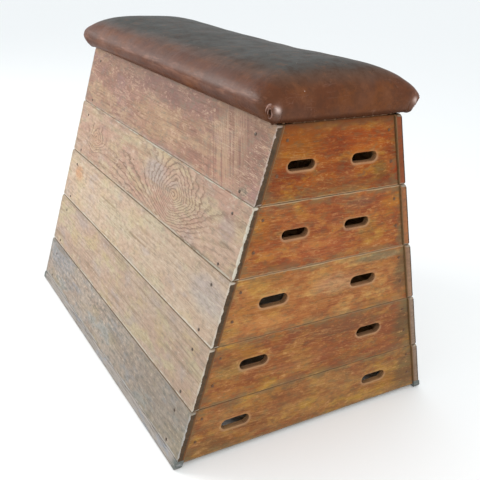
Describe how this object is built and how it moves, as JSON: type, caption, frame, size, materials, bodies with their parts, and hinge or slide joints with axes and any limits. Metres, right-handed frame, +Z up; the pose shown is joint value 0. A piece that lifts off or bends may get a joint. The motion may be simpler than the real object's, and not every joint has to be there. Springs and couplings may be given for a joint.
{
  "type": "vaulting box",
  "caption": "Free-standing gymnastics vaulting box: wooden tiers with slanted long sides and hand slots in the ends, each lifting off the next, under a leather-covered pad.",
  "frame": {"origin": "on the floor, at the middle of the box's footprint", "axes": "+X along the box's length towards the front end, +Y across it towards the far long side, +Z up"},
  "size_m": [1.4296, 0.9598, 1.1307],
  "materials": {
    "base_side_board": "worn bare softwood plank, varnish mostly gone",
    "second_side_board": "worn bare softwood plank, varnish mostly gone",
    "third_side_board": "worn bare softwood plank, varnish mostly gone",
    "fourth_side_board": "worn bare softwood plank, varnish mostly gone",
    "top_side_board": "worn bare softwood plank, varnish mostly gone",
    "base_end_board": "old amber varnish on softwood, scratched",
    "second_end_board": "old amber varnish on softwood, scratched",
    "third_end_board": "old amber varnish on softwood, scratched",
    "fourth_end_board": "old amber varnish on softwood, scratched",
    "top_end_board": "old amber varnish on softwood, scratched",
    "post": "bare sawn softwood",
    "runner": "weathered grey wood, rounded by wear",
    "deck": "bare sawn softwood",
    "stuffing": "packed coarse hair in sacking",
    "leather": "old brown leather, polished by use"
  },
  "bodies": {
    "base_tier": {"base_tier_near_side_board": "base_side_board", "base_tier_far_side_board": "base_side_board", "base_tier_front_end_board": "base_end_board", "base_tier_back_end_board": "base_end_board", "base_tier_near_front_post": "post", "base_tier_near_back_post": "post", "base_tier_far_back_post": "post", "base_tier_far_front_post": "post", "near_runner": "runner", "far_runner": "runner"},
    "second_tier": {"second_tier_near_side_board": "second_side_board", "second_tier_far_side_board": "second_side_board", "second_tier_front_end_board": "second_end_board", "second_tier_back_end_board": "second_end_board", "second_tier_near_front_post": "post", "second_tier_near_back_post": "post", "second_tier_far_back_post": "post", "second_tier_far_front_post": "post"},
    "third_tier": {"third_tier_near_side_board": "third_side_board", "third_tier_far_side_board": "third_side_board", "third_tier_front_end_board": "third_end_board", "third_tier_back_end_board": "third_end_board", "third_tier_near_front_post": "post", "third_tier_near_back_post": "post", "third_tier_far_back_post": "post", "third_tier_far_front_post": "post"},
    "fourth_tier": {"fourth_tier_near_side_board": "fourth_side_board", "fourth_tier_far_side_board": "fourth_side_board", "fourth_tier_front_end_board": "fourth_end_board", "fourth_tier_back_end_board": "fourth_end_board", "fourth_tier_near_front_post": "post", "fourth_tier_near_back_post": "post", "fourth_tier_far_back_post": "post", "fourth_tier_far_front_post": "post"},
    "top_tier": {"top_tier_near_side_board": "top_side_board", "top_tier_far_side_board": "top_side_board", "top_tier_front_end_board": "top_end_board", "top_tier_back_end_board": "top_end_board", "top_tier_near_front_post": "post", "top_tier_near_back_post": "post", "top_tier_far_back_post": "post", "top_tier_far_front_post": "post", "deck_batten_1": "deck", "deck_batten_2": "deck", "deck_batten_3": "deck", "deck_board_1": "deck", "deck_board_2": "deck", "deck_board_3": "deck", "pad_stuffing": "stuffing", "pad_cover": "leather"}
  },
  "joints": [
    {"name": "second_tier_lift", "type": "slide", "parent": "base_tier", "child": "second_tier", "axis": [0, 0, 1], "range_m": [0, 0.12]},
    {"name": "third_tier_lift", "type": "slide", "parent": "second_tier", "child": "third_tier", "axis": [0, 0, 1], "range_m": [0, 0.12]},
    {"name": "fourth_tier_lift", "type": "slide", "parent": "third_tier", "child": "fourth_tier", "axis": [0, 0, 1], "range_m": [0, 0.12]},
    {"name": "top_tier_lift", "type": "slide", "parent": "fourth_tier", "child": "top_tier", "axis": [0, 0, 1], "range_m": [0, 0.12]}
  ]
}
